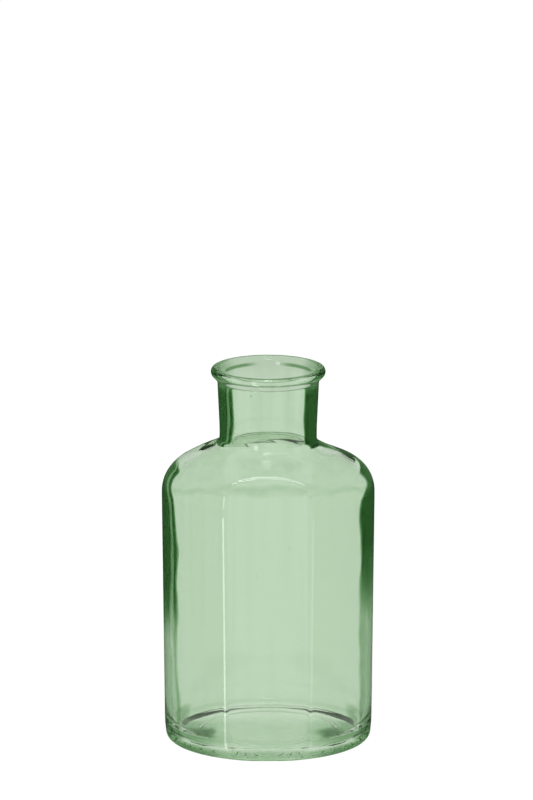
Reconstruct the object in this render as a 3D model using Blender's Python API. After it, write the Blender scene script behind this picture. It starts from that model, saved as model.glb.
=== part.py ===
"""A one-piece glass apothecary bottle: an open mouth with a flanged lip, a short neck, a round
shoulder and a round body, with a flat label panel down its front and a thick, pushed-up base.

Metres, +Z up. The bottle stands on Z = 0 and its label panel faces -Y. The origin is the middle of
its bounding box at the standing plane, so the turning axis stands a little towards the panel.
"""

import math

import bmesh
import bpy

MM = 0.001

# Columns round the bottle. The panel's two edges fall close to a column.
COLUMNS = 72

# Lip, in a half-round bead over a 45 degree underside.
HEIGHT = 179.0 * MM
LIP_RADIUS = 26.9 * MM
LIP_BEAD = 2.5 * MM
LIP_BEAD_Z = HEIGHT - 2.0 * MM
MOUTH_RADIUS = 20.6 * MM
MOUTH_ROUNDING = 0.8 * MM

# Neck, which widens towards the lip.
NECK_TOP_RADIUS = 23.85 * MM
NECK_RADIUS = 22.8 * MM
NECK_FLARE_Z = 150.0 * MM
NECK_FILLET = 4.0 * MM
BORE_RADIUS = 19.6 * MM

# Shoulder: a round turn from the wall, then a cone up to the neck.
SHOULDER_Z = 119.5 * MM
SHOULDER_ROUNDING = 17.0 * MM
SHOULDER_TURN = 64.0

# Body, which narrows slightly towards the base.
BODY_RADIUS = 50.0 * MM
FOOT_RADIUS = 48.75 * MM
FOOT_Z = 8.5 * MM
WALL = 3.3 * MM

# Base: a round heel, a flat ring to stand on and a shallow push-up.
HEEL = 3.8 * MM
HEEL_RADIUS = 48.3 * MM
RING_INNER_RADIUS = 33.0 * MM
PUSH_UP_RADIUS = 29.5 * MM
PUSH_UP_EDGE_Z = 1.6 * MM
PUSH_UP_Z = 2.4 * MM

# Inside floor: a round corner, a shallow moat and a raised middle.
CORNER = 3.0 * MM
MOAT_Z = 4.2 * MM
MOAT_RADIUS = 31.5 * MM
PLATEAU_RADIUS = 28.5 * MM
PLATEAU_EDGE_Z = 5.4 * MM
PLATEAU_Z = 5.8 * MM

# Label panel: its distance from the turning axis, which shrinks with the body towards the base,
# the turn that carries its top over the shoulder, and the height above which nothing is pressed.
PANEL_DISTANCE = 45.45 * MM
PANEL_TAPER = 0.0083
PANEL_TURN = 33.0
PANEL_TOP_Z = 138.0 * MM

AXIS_Y = (PANEL_DISTANCE - BODY_RADIUS) / 2


def clear_scene():
    for thing in list(bpy.data.objects):
        bpy.data.objects.remove(thing, do_unlink=True)


def arc(centre, radius, start, end, steps):
    """Points (radius, height) along an arc, from start to end in degrees."""
    points = []
    for step in range(steps + 1):
        angle = math.radians(start + (end - start) * step / steps)
        points.append((centre[0] + radius * math.cos(angle), centre[1] + radius * math.sin(angle)))
    return points


def neck_fillet_centre():
    """Centre of the fillet that touches both the neck and the shoulder's cone, on the outside."""
    turn = math.radians(SHOULDER_TURN)
    cone_r = BODY_RADIUS - SHOULDER_ROUNDING + SHOULDER_ROUNDING * math.cos(turn)
    cone_z = SHOULDER_Z + SHOULDER_ROUNDING * math.sin(turn)
    centre_r = NECK_RADIUS + NECK_FILLET
    touch_r = centre_r - NECK_FILLET * math.cos(turn)
    touch_z = cone_z + (cone_r - touch_r) / math.tan(turn)
    return centre_r, touch_z + NECK_FILLET * math.sin(turn)


def outer_outline():
    """The outside, from the middle of the lip's flat top down to the axis under the base."""
    bead = (LIP_RADIUS - LIP_BEAD, LIP_BEAD_Z)
    top_angle = math.degrees(math.asin((HEIGHT - LIP_BEAD_Z) / LIP_BEAD))
    points = [((MOUTH_RADIUS + LIP_RADIUS) / 2, HEIGHT)]
    points += arc(bead, LIP_BEAD, top_angle, -45, 5)
    under_r, under_z = points[-1]
    points.append((NECK_TOP_RADIUS, under_z - (under_r - NECK_TOP_RADIUS)))
    points.append((NECK_RADIUS, NECK_FLARE_Z))
    points += arc(neck_fillet_centre(), NECK_FILLET, 180, 180 + SHOULDER_TURN, 3)
    shoulder = (BODY_RADIUS - SHOULDER_ROUNDING, SHOULDER_Z)
    points += arc(shoulder, SHOULDER_ROUNDING, SHOULDER_TURN, 0, 7)
    points.append(((BODY_RADIUS + FOOT_RADIUS) / 2, (SHOULDER_Z + FOOT_Z) / 2))
    points.append((FOOT_RADIUS, FOOT_Z))
    points += arc((HEEL_RADIUS - HEEL, HEEL), HEEL, 0, -90, 4)
    points.append((RING_INNER_RADIUS, 0.0))
    points.append((PUSH_UP_RADIUS, PUSH_UP_EDGE_Z))
    points.append((0.0, PUSH_UP_Z))
    return points


def inner_outline():
    """The inside, from the middle of the lip's flat top down to the axis on the floor."""
    rounding = (MOUTH_RADIUS + MOUTH_ROUNDING, HEIGHT - MOUTH_ROUNDING)
    points = [((MOUTH_RADIUS + LIP_RADIUS) / 2, HEIGHT)]
    points += arc(rounding, MOUTH_ROUNDING, 90, 180, 2)
    fillet_r, fillet_z = neck_fillet_centre()
    points.append((BORE_RADIUS, NECK_FLARE_Z))
    points += arc((fillet_r, fillet_z), fillet_r - BORE_RADIUS, 180, 180 + SHOULDER_TURN, 4)
    shoulder = (BODY_RADIUS - SHOULDER_ROUNDING, SHOULDER_Z)
    points += arc(shoulder, SHOULDER_ROUNDING - WALL, SHOULDER_TURN, 0, 6)
    corner = (FOOT_RADIUS - WALL - CORNER, MOAT_Z + CORNER)
    points.append(((BODY_RADIUS + FOOT_RADIUS) / 2 - WALL, (SHOULDER_Z + corner[1]) / 2))
    points += arc(corner, CORNER, 0, -90, 3)
    points.append((MOAT_RADIUS, MOAT_Z))
    points.append((PLATEAU_RADIUS, PLATEAU_EDGE_Z))
    points.append((0.0, PLATEAU_Z))
    return points


def panel_distance(height, inset):
    """How far the panel's surface stands from the turning axis, for a surface inset into the glass."""
    above = height - SHOULDER_Z
    if above <= 0:
        return PANEL_DISTANCE - inset + PANEL_TAPER * above
    centre = PANEL_DISTANCE - SHOULDER_ROUNDING
    rounding = SHOULDER_ROUNDING - inset
    turn = math.radians(PANEL_TURN)
    turned = rounding * math.sin(turn)
    if above <= turned:
        return centre + math.sqrt(rounding ** 2 - above ** 2)
    return centre + rounding * math.cos(turn) - (above - turned) * math.tan(turn)


def turn_outline(mesh, outline):
    """Turns an outline round the Z axis and gives back its vertices."""
    others = set(mesh.verts)
    corners = [mesh.verts.new((0.0, -radius, height)) for radius, height in outline]
    edges = [mesh.edges.new(pair) for pair in zip(corners, corners[1:])]
    bmesh.ops.spin(
        mesh,
        geom=corners + edges,
        cent=(0, 0, 0),
        axis=(0, 0, 1),
        angle=math.tau,
        steps=COLUMNS,
        use_merge=True,
    )
    return [vert for vert in mesh.verts if vert not in others]


def press_panel(verts, inset):
    """Pushes the vertices in front of the panel straight back towards the axis, onto it."""
    for vert in verts:
        limit = panel_distance(vert.co.z, inset)
        if vert.co.z < PANEL_TOP_Z and -vert.co.y > limit:
            scale = limit / -vert.co.y
            vert.co.x *= scale
            vert.co.y *= scale


def glass_material():
    material = bpy.data.materials.new("green_glass")
    material.use_nodes = True
    shader = material.node_tree.nodes["Principled BSDF"]
    shader.inputs["Base Color"].default_value = (0.52, 0.67, 0.48, 1.0)
    shader.inputs["Metallic"].default_value = 0.0
    shader.inputs["Roughness"].default_value = 0.03
    shader.inputs["IOR"].default_value = 1.5
    shader.inputs["Transmission Weight"].default_value = 1.0
    return material


def make_bottle():
    mesh = bmesh.new()
    press_panel(turn_outline(mesh, outer_outline()), 0.0)
    press_panel(turn_outline(mesh, inner_outline()), WALL)
    bmesh.ops.remove_doubles(mesh, verts=mesh.verts, dist=0.01 * MM)
    bmesh.ops.recalc_face_normals(mesh, faces=mesh.faces)
    data = bpy.data.meshes.new("bottle")
    mesh.to_mesh(data)
    mesh.free()
    data.materials.append(glass_material())
    data.shade_smooth()
    data.set_sharp_from_angle(angle=math.radians(35))
    bottle = bpy.data.objects.new("bottle", data)
    bottle.location.y = AXIS_Y
    bpy.context.scene.collection.objects.link(bottle)


clear_scene()
make_bottle()
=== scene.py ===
"""Looks of the green glass bottle: one fine glass mesh in place of the CAD solid, a pale floor,
soft studio light and the camera. Metres, in the CAD model's own frame."""

import math

import bpy
import numpy as np
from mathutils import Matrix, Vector


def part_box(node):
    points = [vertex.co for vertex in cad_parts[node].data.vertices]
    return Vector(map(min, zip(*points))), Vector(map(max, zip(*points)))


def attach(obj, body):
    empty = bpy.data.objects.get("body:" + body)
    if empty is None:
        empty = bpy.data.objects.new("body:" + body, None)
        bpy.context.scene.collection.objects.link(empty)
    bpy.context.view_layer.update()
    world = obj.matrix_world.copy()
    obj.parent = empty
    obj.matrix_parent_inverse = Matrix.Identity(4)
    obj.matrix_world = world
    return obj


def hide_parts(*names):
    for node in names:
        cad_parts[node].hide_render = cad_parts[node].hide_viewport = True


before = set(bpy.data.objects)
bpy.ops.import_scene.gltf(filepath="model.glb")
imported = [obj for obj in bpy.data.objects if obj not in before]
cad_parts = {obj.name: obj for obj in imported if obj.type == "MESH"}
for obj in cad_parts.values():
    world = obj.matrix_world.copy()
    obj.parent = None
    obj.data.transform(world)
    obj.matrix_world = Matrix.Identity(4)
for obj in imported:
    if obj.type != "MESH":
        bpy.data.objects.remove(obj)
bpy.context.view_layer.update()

MM = 0.001

# Sizes that the CAD box gives.
LOW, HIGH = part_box("bottle")
HEIGHT = HIGH[2]
BODY_RADIUS = (HIGH[0] - LOW[0]) / 2
AXIS_Y = HIGH[1] - BODY_RADIUS
PANEL_DISTANCE = AXIS_Y - LOW[1]

# Lip, in a half-round bead over a 45 degree underside.
LIP_RADIUS = 26.9 * MM
LIP_BEAD = 2.5 * MM
LIP_BEAD_Z = HEIGHT - 2.0 * MM
MOUTH_RADIUS = 20.6 * MM
MOUTH_ROUNDING = 0.8 * MM

# Neck, which widens towards the lip.
NECK_TOP_RADIUS = 23.85 * MM
NECK_RADIUS = 22.8 * MM
NECK_FLARE_Z = 150.0 * MM
NECK_FILLET = 4.0 * MM
BORE_RADIUS = 19.6 * MM

# Shoulder: a round turn from the wall, then a cone up to the neck.
SHOULDER_Z = 119.5 * MM
SHOULDER_ROUNDING = 17.0 * MM
SHOULDER_TURN = 64.0

# Body, base and inside floor.
FOOT_RADIUS = 48.75 * MM
FOOT_Z = 8.5 * MM
WALL = 3.3 * MM
HEEL = 3.8 * MM
HEEL_RADIUS = 48.3 * MM
RING_INNER_RADIUS = 33.0 * MM
PUSH_UP_RADIUS = 29.5 * MM
PUSH_UP_EDGE_Z = 1.6 * MM
PUSH_UP_Z = 2.4 * MM
CORNER = 8.0 * MM
MOAT_Z = 4.2 * MM
MOAT_RADIUS = 31.5 * MM
PLATEAU_RADIUS = 28.5 * MM
PLATEAU_EDGE_Z = 5.4 * MM
PLATEAU_Z = 5.8 * MM

# Label panel.
PANEL_TAPER = 0.0083
PANEL_TURN = 33.0
PANEL_TOP_Z = 138.0 * MM
PANEL_CREASE = 0.5 * MM

# How far the cone of the shoulder leans to one side, and where.
LEAN = 1.5 * MM
LEAN_Z = 138.5 * MM
LEAN_REACH = 3.8 * MM

# Glass: the colour of its surfaces, the part of it that is left under painted shade at a grazing edge
# and on the mouth's ring, how much clearer the flat of the base is, and the absorption inside.
SKIN = (0.728, 0.824, 0.709)
EDGE_SHADE = (0.0015, 0.015, 0.0012)
MOUTH_SHADE = (0.47, 0.56, 0.45)
BASE_CLEARNESS = 0.65
IOR = 1.5
ABSORPTION_DENSITY = 2.5
ABSORPTION_COLOUR = (0.125, 0.475, 0.0375, 1.0)

# Floor, and the dim patch under the base that only reflections see.
FLOOR_REACH = 30.0
FLOOR_Z = -0.3 * MM
GLOW_Z = -0.2 * MM
GLOW_FULL = 50.0 * MM
GLOW_REACH = 58.0 * MM
GLOW_STRENGTH = 0.25

# Room that reflections see: how bright it is below, at and above the horizon, its colour, and how
# far a direction rises where the ground turns into the horizon, and the horizon into the ceiling.
ROOM_GROUND = 0.03
ROOM_HORIZON = 0.20
ROOM_CEILING = 0.12
ROOM_TINT = (0.50, 1.0, 0.45, 1.0)
HORIZON_RISE = (-0.17, -0.07)
CEILING_RISE = (0.05, 0.35)

# Camera: what it looks at is up in the picture from the middle of the base, and a little to its left.
CAMERA_DISTANCE = 4.5
CAMERA_ELEVATION = 13.5
PICTURE_HEIGHT = 378.0 * MM
LOOK_UP = 158.67 * MM
LOOK_LEFT = 0.8 * MM

# Mesh.
COLUMNS = 400
OUTER_SOFTNESS = 0.35 * MM
INNER_SOFTNESS = 2.6 * MM


# ---- glass mesh -------------------------------------------------------------------------------


def arc(centre, radius, start, end, steps=40):
    angles = np.radians(np.linspace(start, end, steps + 1))
    return [(centre[0] + radius * math.cos(a), centre[1] + radius * math.sin(a)) for a in angles]


def neck_fillet_centre():
    turn = math.radians(SHOULDER_TURN)
    cone_r = BODY_RADIUS - SHOULDER_ROUNDING + SHOULDER_ROUNDING * math.cos(turn)
    cone_z = SHOULDER_Z + SHOULDER_ROUNDING * math.sin(turn)
    centre_r = NECK_RADIUS + NECK_FILLET
    touch_r = centre_r - NECK_FILLET * math.cos(turn)
    touch_z = cone_z + (cone_r - touch_r) / math.tan(turn)
    return centre_r, touch_z + NECK_FILLET * math.sin(turn)


def outer_outline():
    bead = (LIP_RADIUS - LIP_BEAD, LIP_BEAD_Z)
    top_angle = math.degrees(math.asin((HEIGHT - LIP_BEAD_Z) / LIP_BEAD))
    points = [((MOUTH_RADIUS + LIP_RADIUS) / 2, HEIGHT)]
    points += arc(bead, LIP_BEAD, top_angle, -45)
    under_r, under_z = points[-1]
    points.append((NECK_TOP_RADIUS, under_z - (under_r - NECK_TOP_RADIUS)))
    points.append((NECK_RADIUS, NECK_FLARE_Z))
    points += arc(neck_fillet_centre(), NECK_FILLET, 180, 180 + SHOULDER_TURN)
    shoulder = (BODY_RADIUS - SHOULDER_ROUNDING, SHOULDER_Z)
    points += arc(shoulder, SHOULDER_ROUNDING, SHOULDER_TURN, 0)
    points.append((FOOT_RADIUS, FOOT_Z))
    points += arc((HEEL_RADIUS - HEEL, HEEL), HEEL, 0, -90)
    points.append((RING_INNER_RADIUS, 0.0))
    points.append((PUSH_UP_RADIUS, PUSH_UP_EDGE_Z))
    points.append((0.0, PUSH_UP_Z))
    return points


def inner_outline():
    rounding = (MOUTH_RADIUS + MOUTH_ROUNDING, HEIGHT - MOUTH_ROUNDING)
    points = [((MOUTH_RADIUS + LIP_RADIUS) / 2, HEIGHT)]
    points += arc(rounding, MOUTH_ROUNDING, 90, 180)
    fillet_r, fillet_z = neck_fillet_centre()
    points.append((BORE_RADIUS, NECK_FLARE_Z))
    points += arc((fillet_r, fillet_z), fillet_r - BORE_RADIUS, 180, 180 + SHOULDER_TURN)
    shoulder = (BODY_RADIUS - SHOULDER_ROUNDING, SHOULDER_Z)
    points += arc(shoulder, SHOULDER_ROUNDING - WALL, SHOULDER_TURN, 0)
    corner = (FOOT_RADIUS - WALL - CORNER, MOAT_Z + CORNER)
    points += arc(corner, CORNER, 0, -90)
    points.append((MOAT_RADIUS, MOAT_Z))
    points.append((PLATEAU_RADIUS, PLATEAU_EDGE_Z))
    points.append((0.0, PLATEAU_Z))
    return points


def softened(outline, softness, step=0.1 * MM):
    """The outline at even steps, with its corners rounded as fire polishing leaves them."""
    points = np.array(outline)
    lengths = np.concatenate([[0], np.cumsum(np.hypot(*np.diff(points, axis=0).T))])
    even = np.arange(0, lengths[-1], step)
    line = np.stack([np.interp(even, lengths, points[:, axis]) for axis in (0, 1)], axis=1)
    reach = int(4 * softness / step)
    offsets = np.arange(-reach, reach + 1) * step
    weights = np.exp(-((offsets / softness) ** 2) / 2)
    weights /= weights.sum()
    start = 2 * line[0] - line[reach:0:-1]
    end = line[-2 : -reach - 2 : -1] * (-1, 1)
    padded = np.concatenate([start, line, end])
    soft = np.stack([np.convolve(padded[:, axis], weights, "valid") for axis in (0, 1)], axis=1)
    soft[-1, 0] = 0.0
    return soft


def thinned(line, least_gap=0.12 * MM, most_gap=3.0 * MM, most_turn=5.0):
    """Leaves out points, more of them where the line runs straight."""
    steps = np.diff(line, axis=0)
    headings = np.unwrap(np.arctan2(steps[:, 1], steps[:, 0]))
    kept, last = [0], 0
    for index in range(1, len(line) - 1):
        gap = np.hypot(*(line[index] - line[last]))
        turn = abs(headings[index] - headings[last])
        if gap > most_gap or math.degrees(turn) > most_turn and gap > least_gap:
            kept.append(index)
            last = index
    kept.append(len(line) - 1)
    return line[kept]


def panel_distance(height, inset):
    """How far the panel is from the axis at each height."""
    above = np.maximum(height - SHOULDER_Z, 0)
    below = np.minimum(height - SHOULDER_Z, 0)
    centre = PANEL_DISTANCE - SHOULDER_ROUNDING
    rounding = SHOULDER_ROUNDING - inset
    turn = math.radians(PANEL_TURN)
    turned = rounding * math.sin(turn)
    curve = centre + np.sqrt(np.maximum(rounding**2 - np.minimum(above, turned) ** 2, 0))
    return curve - np.maximum(above - turned, 0) * math.tan(turn) + PANEL_TAPER * below


def smooth_least(a, b, width):
    """The smaller of a and b, with a round turn of the given width between them."""
    blend = np.maximum(width - np.abs(a - b), 0) / width
    return np.minimum(a, b) - blend**2 * width / 4


def leaning(angle, height):
    """The cone of the shoulder stands out a little on one side."""
    across = (height - LEAN_Z) / LEAN_REACH
    return -LEAN * np.cos(angle) * np.exp(-(across**2))


def surface(outline, inset):
    """Rings of points (rings, columns, 3) for one side of the glass."""
    radius, height = outline[:, 0][:, None], outline[:, 1][:, None]
    angle = np.linspace(0, 2 * math.pi, COLUMNS, endpoint=False)[None, :]
    radius = radius + leaning(angle, height) * np.minimum(radius / (10 * MM), 1)

    # The panel is pressed in at the front, below its top and away from the axis.
    facing = np.maximum(-np.sin(angle), 0.05)
    limit = panel_distance(height, inset) / facing
    pressed = smooth_least(radius, limit, PANEL_CREASE)
    in_panel = (height < PANEL_TOP_Z) & (facing > 0.1) & (radius > 5 * MM)
    radius = np.where(in_panel, pressed, radius)
    x, y = radius * np.cos(angle), radius * np.sin(angle) + AXIS_Y
    return np.stack([x, y, np.broadcast_to(height, x.shape)], axis=2)


def glass_mesh():
    """A closed skin: up the outside, over the lip and down the inside, with a pole at each end."""
    outer = surface(thinned(softened(outer_outline(), OUTER_SOFTNESS)), 0.0)
    inner = surface(thinned(softened(inner_outline(), INNER_SOFTNESS)), WALL)
    rings = np.concatenate([outer[::-1], inner[1:]])[1:-1]
    count = len(rings)
    points = rings.reshape(-1, 3).tolist()
    base_pole = (0.0, AXIS_Y, outer[-1, 0, 2])
    floor_pole = (0.0, AXIS_Y, inner[-1, 0, 2])
    points += [base_pole, floor_pole]
    faces = []
    for ring in range(count - 1):
        for column in range(COLUMNS):
            beside = (column + 1) % COLUMNS
            low, high = ring * COLUMNS, (ring + 1) * COLUMNS
            faces.append((low + column, low + beside, high + beside, high + column))
    last = (count - 1) * COLUMNS
    for column in range(COLUMNS):
        beside = (column + 1) % COLUMNS
        faces.append((count * COLUMNS, beside, column))
        faces.append((count * COLUMNS + 1, last + column, last + beside))
    mesh = bpy.data.meshes.new("bottle_glass")
    mesh.from_pydata(points, [], faces)
    mesh.update()
    outside = np.zeros(len(points))
    outside[: (len(outer) - 1) * COLUMNS] = 1.0
    outside[-2] = 1.0
    mesh.attributes.new("outside", "FLOAT", "POINT").data.foreach_set("value", outside)
    return mesh


# ---- shader values ----------------------------------------------------------------------------


class Value:
    """What a shader node gives, for use in sums, products and ramps."""

    def __init__(self, made, socket):
        self.made = made
        self.socket = socket

    def maths(self, operation, first, second=0.0):
        made = node(self.made.id_data, "ShaderNodeMath", {0: first, 1: second}, operation=operation)
        return Value(made, "Value")

    def __add__(self, other):
        return self.maths("ADD", self, other)

    def __sub__(self, other):
        return self.maths("SUBTRACT", self, other)

    def __rsub__(self, other):
        return self.maths("SUBTRACT", other, self)

    def __mul__(self, other):
        return self.maths("MULTIPLY", self, other)

    def __rpow__(self, other):
        return self.maths("POWER", other, self)

    def __abs__(self):
        return self.maths("ABSOLUTE", self)

    def at_least(self, other):
        return self.maths("MAXIMUM", self, other)

    def ramp(self, low, high, low_value=0.0, high_value=1.0):
        """Smooth change from low_value to high_value as this goes from low to high."""
        inputs = {
            "Value": self,
            "From Min": low,
            "From Max": high,
            "To Min": low_value,
            "To Max": high_value,
        }
        tree = self.made.id_data
        return Value(node(tree, "ShaderNodeMapRange", inputs, interpolation_type="SMOOTHSTEP"), "Result")

    def mixed(self, low_value, high_value):
        """low_value where this is 0, and high_value where it is 1."""
        inputs = {"Factor": self, "A": low_value, "B": high_value}
        return Value(node(self.made.id_data, "ShaderNodeMix", inputs, data_type="FLOAT"), "Result")


def node(tree, kind, inputs=(), **settings):
    """Adds a node. A Value in inputs is linked, anything else is set."""
    made = tree.nodes.new(kind)
    for name, value in settings.items():
        setattr(made, name, value)
    for name, value in dict(inputs).items():
        if isinstance(value, Value):
            tree.links.new(value.made.outputs[value.socket], made.inputs[name])
        else:
            made.inputs[name].default_value = value
    return made


def noise(tree, place, scale, detail):
    """Noise of 0 to 1, with its own scale, per metre, along each axis."""
    scaled = node(tree, "ShaderNodeMapping", {"Vector": place, "Scale": scale})
    inputs = {"Vector": Value(scaled, "Vector"), "Scale": 1.0, "Detail": detail}
    return Value(node(tree, "ShaderNodeTexNoise", inputs), "Fac")


def glowing_material(name, strength, colour=(1.0, 1.0, 1.0, 1.0)):
    """A material that only gives light. The strength is a number, or a function of its node tree."""
    material = bpy.data.materials.new(name)
    material.use_nodes = True
    tree = material.node_tree
    tree.nodes.remove(tree.nodes["Principled BSDF"])
    if callable(strength):
        strength = strength(tree)
    emission = node(tree, "ShaderNodeEmission", {"Color": colour, "Strength": strength})
    tree.links.new(emission.outputs["Emission"], tree.nodes["Material Output"].inputs["Surface"])
    return material


# ---- glass material ---------------------------------------------------------------------------


class Spot:
    """The place on the glass that is being coloured."""

    def __init__(self, tree):
        self.tree = tree
        coordinates = node(tree, "ShaderNodeTexCoord")
        self.place = Value(coordinates, "Object")
        axes = node(tree, "ShaderNodeSeparateXYZ", {0: self.place})
        self.x, self.y, self.z = (Value(axes, axis) for axis in "XYZ")
        self.off_centre = abs(self.x)
        self.right = self.x.ramp(-4 * MM, 4 * MM)
        self.left = 1.0 - self.right
        normal = node(tree, "ShaderNodeSeparateXYZ", {0: Value(coordinates, "Normal")})
        self.normal_z = Value(normal, "Z")
        self.outside = Value(node(tree, "ShaderNodeAttribute", attribute_name="outside"), "Fac")
        self.inside = 1.0 - self.outside
        self.grazing = Value(node(tree, "ShaderNodeLayerWeight", {"Blend": 0.5}), "Facing")
        self.ripple = noise(tree, self.place, (70, 70, 28), 2.0) - 0.5


def painted_edge_shade(spot):
    """Painted shade at grazing edges: they turn dark green, further in on the neck than on the body, and
    unevenly.
    """
    start = spot.z.ramp(138 * MM, 146 * MM, 0.50, 0.32)
    start = start + spot.normal_z.ramp(0.0, 0.5, 0.0, 0.07)
    start = start + spot.normal_z.ramp(0.70, 0.88, 0.0, 0.22)
    start = start + spot.ripple * 0.22
    past = spot.grazing - start
    # A lighter streak is left in the painted shade on the left.
    light_streak = abs(past - 0.13).ramp(0.015, 0.05, 0.55, 0.0) * spot.left
    edge = past.ramp(0.0, 0.07) * (1.0 - light_streak)

    # They fade towards the foot, lower down on the left.
    level = spot.z + spot.ripple * (40 * MM)
    left_fade = level.ramp(48 * MM, 80 * MM, 0.24, 1.0)
    right_fade = level.ramp(60 * MM, 100 * MM, 0.24, 1.0)
    edge = edge * spot.right.mixed(left_fade, right_fade)

    # Surfaces that face up or down have none, and the lip has less.
    edge = edge * spot.normal_z.ramp(0.85, 0.97, 1.0, 0.0) * spot.normal_z.ramp(-0.45, -0.15)
    edge = edge * spot.z.ramp(169 * MM, 173 * MM, 1.0, 0.6)

    # The left side of the shoulder's cone stays light.
    edge = edge * (1.0 - spot.normal_z.ramp(0.70, 0.86) * spot.left)

    # At the back, the turn from the neck to the shoulder hardly shows.
    behind = spot.y.ramp(AXIS_Y, AXIS_Y + 12 * MM)
    behind = behind * spot.z.ramp(152 * MM, 156 * MM, 1.0, 0.0) * spot.z.ramp(110 * MM, 120 * MM)
    return edge * (1.0 - behind)


def shoulder_band(spot):
    """A wavy darker band lies along the shoulder, higher at the front."""
    level = spot.z + spot.y * 0.24 + spot.ripple * (10 * MM)
    return abs(level - SHOULDER_Z).ramp(0.0, 3.5 * MM, 0.035, 0.0)


def beside_panel(spot):
    """Beside the panel the glass is a little deeper in colour."""
    return spot.off_centre.ramp(19.5 * MM, 22.5 * MM, 0.0, 0.011)


def painted_heel_shade(spot):
    """The thick heel is darkened with painted shade, most of all at its sides."""
    shade = spot.off_centre.ramp(15 * MM, 40 * MM, 0.14, 0.42) + spot.ripple * 0.10
    shade = shade * spot.z.ramp(3.4 * MM, 5.6 * MM, 1.0, 0.0) * spot.normal_z.ramp(-0.9, -0.6)
    shade = shade * spot.y.ramp(0.0, 20 * MM, 1.0, 0.15)
    end_shade = spot.off_centre.ramp(38 * MM, 46 * MM, 0.0, 0.42) * spot.z.ramp(5 * MM, 11 * MM, 1.0, 0.0)
    return shade.at_least(end_shade)


def lip_side_shade(spot):
    """Painted shade at the sides of the lip too."""
    return spot.off_centre.ramp(16 * MM, 24.5 * MM, 0.0, 0.16) * spot.z.ramp(170 * MM, 172 * MM)


def seeds(spot):
    """A few small seeds lie in the glass."""
    cells = node(spot.tree, "ShaderNodeTexVoronoi", {"Vector": spot.place, "Scale": 60.0})
    return Value(cells, "Distance").ramp(0.018, 0.034, 0.16, 0.0)


def streaks(spot):
    """Faint upright streaks, stronger in the neck."""
    streak = noise(spot.tree, spot.place, (170, 170, 9), 1.0).ramp(0.42, 0.66)
    return streak * spot.z.ramp(120 * MM, 150 * MM, 0.005, 0.018)


def base_shade_patches(spot):
    """Two patches of painted shade in the front of the base."""
    aside = abs(spot.off_centre - 31 * MM + spot.ripple * (14 * MM))
    shade_patch = aside.ramp(2 * MM, 8.5 * MM, 1.0, 0.0)
    shade_patch = shade_patch * abs(spot.y + 21 * MM).ramp(3 * MM, 17 * MM, 0.62, 0.0)
    return shade_patch * spot.z.ramp(8 * MM, 11 * MM, 1.0, 0.0)


def throat_shade_line(spot):
    """A painted dark line of shade inside the back of the mouth, broken in the middle."""
    line = abs(spot.z - (HEIGHT - 3.2 * MM)).ramp(0.3 * MM, 1.1 * MM, 0.35, 0.0)
    return line * spot.off_centre.ramp(4 * MM, 12 * MM) * spot.y.ramp(1 * MM, 6 * MM)


def painted_mouth_shade(spot):
    """Painted shade on the mouth's ring: on its flat top, its underside and its inside."""
    top = spot.z.ramp(HEIGHT - 1.5 * MM, HEIGHT - 1.0 * MM) * spot.normal_z.ramp(0.90, 0.97)
    underside = spot.normal_z.ramp(-0.45, -0.2, 0.95, 0.0) * spot.z.ramp(165 * MM, 170 * MM)
    from_glass = Value(node(spot.tree, "ShaderNodeNewGeometry"), "Backfacing")
    throat = spot.z.ramp(HEIGHT - 13.0 * MM, HEIGHT - 9.0 * MM) * spot.inside * (1.0 - from_glass)
    return top.at_least(underside).at_least(throat)


def glass_material():
    """Clear glass with a light absorption inside, and painted shade and flaws in a colour that depends on
    place and view.
    """
    material = bpy.data.materials.new("green_glass")
    material.use_nodes = True
    tree = material.node_tree
    shader = tree.nodes["Principled BSDF"]
    shader.inputs["Roughness"].default_value = 0.0
    shader.inputs["IOR"].default_value = IOR
    shader.inputs["Transmission Weight"].default_value = 1.0

    spot = Spot(tree)
    # Painted shade at the edges, heel, lip, base and throat, with the glass's own seeds and streaks.
    painted_shade_and_flaws = painted_edge_shade(spot)
    for zone in (shoulder_band, beside_panel, painted_heel_shade, lip_side_shade, seeds):
        painted_shade_and_flaws = painted_shade_and_flaws.at_least(zone(spot))
    painted_shade_and_flaws = (painted_shade_and_flaws + streaks(spot)) * spot.outside
    painted_shade_and_flaws = painted_shade_and_flaws.at_least(base_shade_patches(spot).at_least(throat_shade_line(spot)) * spot.inside)
    # Painted shade on the mouth's ring.
    ring = painted_mouth_shade(spot)
    flat_base = abs(spot.normal_z).ramp(0.80, 0.95) * spot.z.ramp(7 * MM, 10 * MM, BASE_CLEARNESS, 0.0)
    weight = 1.0 - flat_base

    tint = node(tree, "ShaderNodeCombineColor")
    for channel, clear, dark, deep in zip(("Red", "Green", "Blue"), SKIN, EDGE_SHADE, MOUTH_SHADE):
        colour = dark**painted_shade_and_flaws * deep**ring * clear**weight
        tree.links.new(colour.made.outputs[colour.socket], tint.inputs[channel])
    tree.links.new(tint.outputs["Color"], shader.inputs["Base Color"])

    absorption = node(
        tree,
        "ShaderNodeVolumeAbsorption",
        {"Color": ABSORPTION_COLOUR, "Density": ABSORPTION_DENSITY},
    )
    tree.links.new(absorption.outputs["Volume"], tree.nodes["Material Output"].inputs["Volume"])
    return material


# ---- stage ------------------------------------------------------------------------------------


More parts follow.
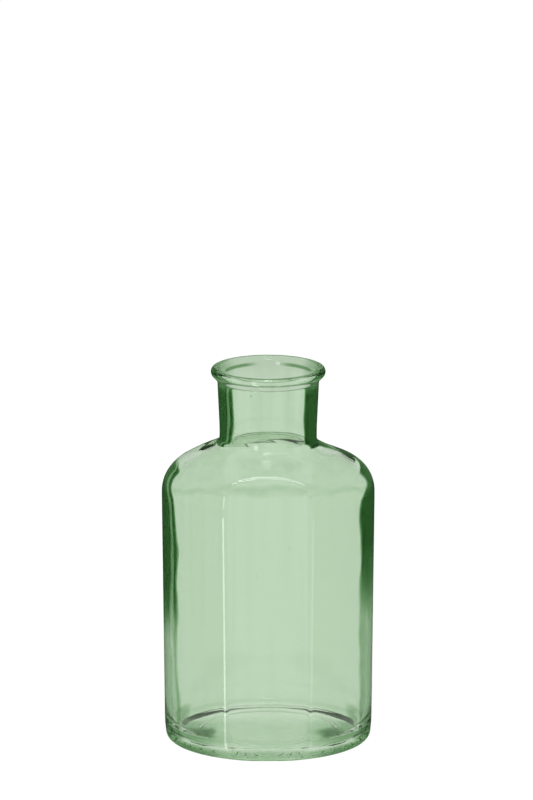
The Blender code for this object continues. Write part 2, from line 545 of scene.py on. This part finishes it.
def make_floor():
    """Almost white by its own light, so that a shadow on it is faint."""
    reach, level = FLOOR_REACH, FLOOR_Z
    corners = [(-reach, -reach, level), (reach, -reach, level), (reach, reach, level), (-reach, reach, level)]
    mesh = bpy.data.meshes.new("floor")
    mesh.from_pydata(corners, [], [(0, 1, 2, 3)])
    material = bpy.data.materials.new("floor_white")
    material.use_nodes = True
    shader = material.node_tree.nodes["Principled BSDF"]
    shader.inputs["Base Color"].default_value = (0.12, 0.12, 0.12, 1.0)
    shader.inputs["Roughness"].default_value = 0.9
    shader.inputs["Specular IOR Level"].default_value = 0.0
    shader.inputs["Emission Color"].default_value = (1.0, 1.0, 1.0, 1.0)
    shader.inputs["Emission Strength"].default_value = 0.985
    mesh.materials.append(material)
    floor = bpy.data.objects.new("floor", mesh)
    floor.visible_glossy = False
    bpy.context.scene.collection.objects.link(floor)


def reflection_only(thing):
    """Something that the glass reflects, but that lights and hides nothing."""
    thing.visible_camera = False
    thing.visible_diffuse = False
    thing.visible_transmission = False
    thing.visible_volume_scatter = False
    thing.visible_shadow = False


def glowing_sheet(name, centre, across, up, material):
    mesh = bpy.data.meshes.new(name)
    mesh.from_pydata([-across - up, across - up, across + up, -across + up], [], [(0, 1, 2, 3)])
    mesh.materials.append(material)
    sheet = bpy.data.objects.new(name, mesh)
    sheet.location = centre
    bpy.context.scene.collection.objects.link(sheet)
    reflection_only(sheet)


def glow_strength(tree):
    """Even in the middle, then falling to the brightness of the room's ground."""
    away = node(
        tree,
        "ShaderNodeVectorMath",
        {0: Value(node(tree, "ShaderNodeTexCoord"), "Object")},
        operation="LENGTH",
    )
    return Value(away, "Value").ramp(GLOW_FULL, GLOW_REACH, GLOW_STRENGTH, ROOM_GROUND)


def make_glow():
    """The floor under the base, as reflections see it, fading into the dim room."""
    across, up = Vector((GLOW_REACH, 0, 0)), Vector((0, GLOW_REACH, 0))
    material = glowing_material("glow", glow_strength, ROOM_TINT)
    glowing_sheet("glow", Vector((0, 0, GLOW_Z)), across, up, material)


def softbox(name, centre, width, height, strength):
    """A soft light, turned to the bottle's foot, as reflections see it."""
    away = centre.normalized()
    across = Vector((-away.y, away.x, 0)).normalized()
    up = across.cross(away)
    material = glowing_material(name, strength)
    glowing_sheet(name, centre, across * width / 2, up * height / 2, material)


def area_light(name, place, target, size, power):
    """A soft light that falls on the floor and that the glass doesn't show."""
    data = bpy.data.lights.new(name, "AREA")
    data.shape = "RECTANGLE"
    data.size, data.size_y = size
    data.energy = power
    light = bpy.data.objects.new(name, data)
    light.location = place
    light.rotation_mode = "QUATERNION"
    light.rotation_quaternion = (Vector(target) - Vector(place)).to_track_quat("-Z", "Y")
    light.visible_glossy = False
    light.visible_transmission = False
    bpy.context.scene.collection.objects.link(light)


def make_world():
    """White all round for what the glass lets through, and a dim room for what it reflects."""
    world = bpy.data.worlds.new("studio")
    bpy.context.scene.world = world
    world.use_nodes = True
    tree = world.node_tree
    direction = Value(node(tree, "ShaderNodeTexCoord"), "Generated")
    rise = Value(node(tree, "ShaderNodeSeparateXYZ", {0: direction}), "Z")
    room = rise.ramp(*HORIZON_RISE, ROOM_GROUND, ROOM_HORIZON)
    room = room - rise.ramp(*CEILING_RISE, 0.0, ROOM_HORIZON - ROOM_CEILING)
    reflected = Value(node(tree, "ShaderNodeLightPath"), "Is Reflection Ray")
    colour = node(
        tree,
        "ShaderNodeMix",
        {0: reflected, 6: (1.0, 1.0, 1.0, 1.0), 7: ROOM_TINT},
        data_type="RGBA",
    )
    strength = reflected.mixed(1.0, room)
    background = tree.nodes["Background"]
    tree.links.new(colour.outputs[2], background.inputs["Color"])
    tree.links.new(strength.made.outputs[strength.socket], background.inputs["Strength"])


def make_camera():
    """Far away, so that there is hardly any perspective."""
    data = bpy.data.cameras.new("camera")
    data.sensor_width = 36.0
    data.lens = data.sensor_width * CAMERA_DISTANCE / PICTURE_HEIGHT
    data.clip_end = 100.0
    camera = bpy.data.objects.new("camera", data)
    elevation = math.radians(CAMERA_ELEVATION)
    back = Vector((0, -math.cos(elevation), math.sin(elevation)))
    up = Vector((0, math.sin(elevation), math.cos(elevation)))
    target = Vector((0, AXIS_Y, 0)) + up * LOOK_UP - Vector((LOOK_LEFT, 0, 0))
    camera.location = target + back * CAMERA_DISTANCE
    camera.rotation_mode = "QUATERNION"
    camera.rotation_quaternion = (-back).to_track_quat("-Z", "Y")
    bpy.context.scene.collection.objects.link(camera)
    bpy.context.scene.camera = camera


make_camera()
make_floor()
make_glow()
make_world()
area_light("overhead", (0, -0.5, 1.4), (0, -0.3, 0), (0.9, 0.8), 8.0)

# Soft lights for reflections: two above in front, one above behind, and three nearer by at the sides.
softbox("top_box", Vector((0, -0.33, 1.15)), 0.26, 0.10, 9.0)
softbox("second_box", Vector((0, -0.52, 1.00)), 0.26, 0.06, 9.0)
softbox("back_box", Vector((0, 0.30, 1.15)), 0.10, 0.05, 6.0)
softbox("left_box", Vector((-0.095, -0.175, -0.02)), 0.05, 0.20, 5.0)
softbox("arch_box", Vector((-0.151, -0.292, 0.20)), 0.05, 0.26, 4.0)
softbox("right_box", Vector((0.095, -0.175, -0.02)), 0.05, 0.20, 0.9)

bottle = bpy.data.objects.new("bottle_glass", glass_mesh())
bpy.context.scene.collection.objects.link(bottle)
bottle.data.materials.append(glass_material())
bottle.data.shade_smooth()
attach(bottle, "root")
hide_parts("bottle")

bpy.context.scene.view_settings.view_transform = "Standard"

# Light bounces many times inside thick glass before it comes out.
bpy.context.scene.cycles.max_bounces = 40
bpy.context.scene.cycles.glossy_bounces = 40
bpy.context.scene.cycles.transmission_bounces = 40
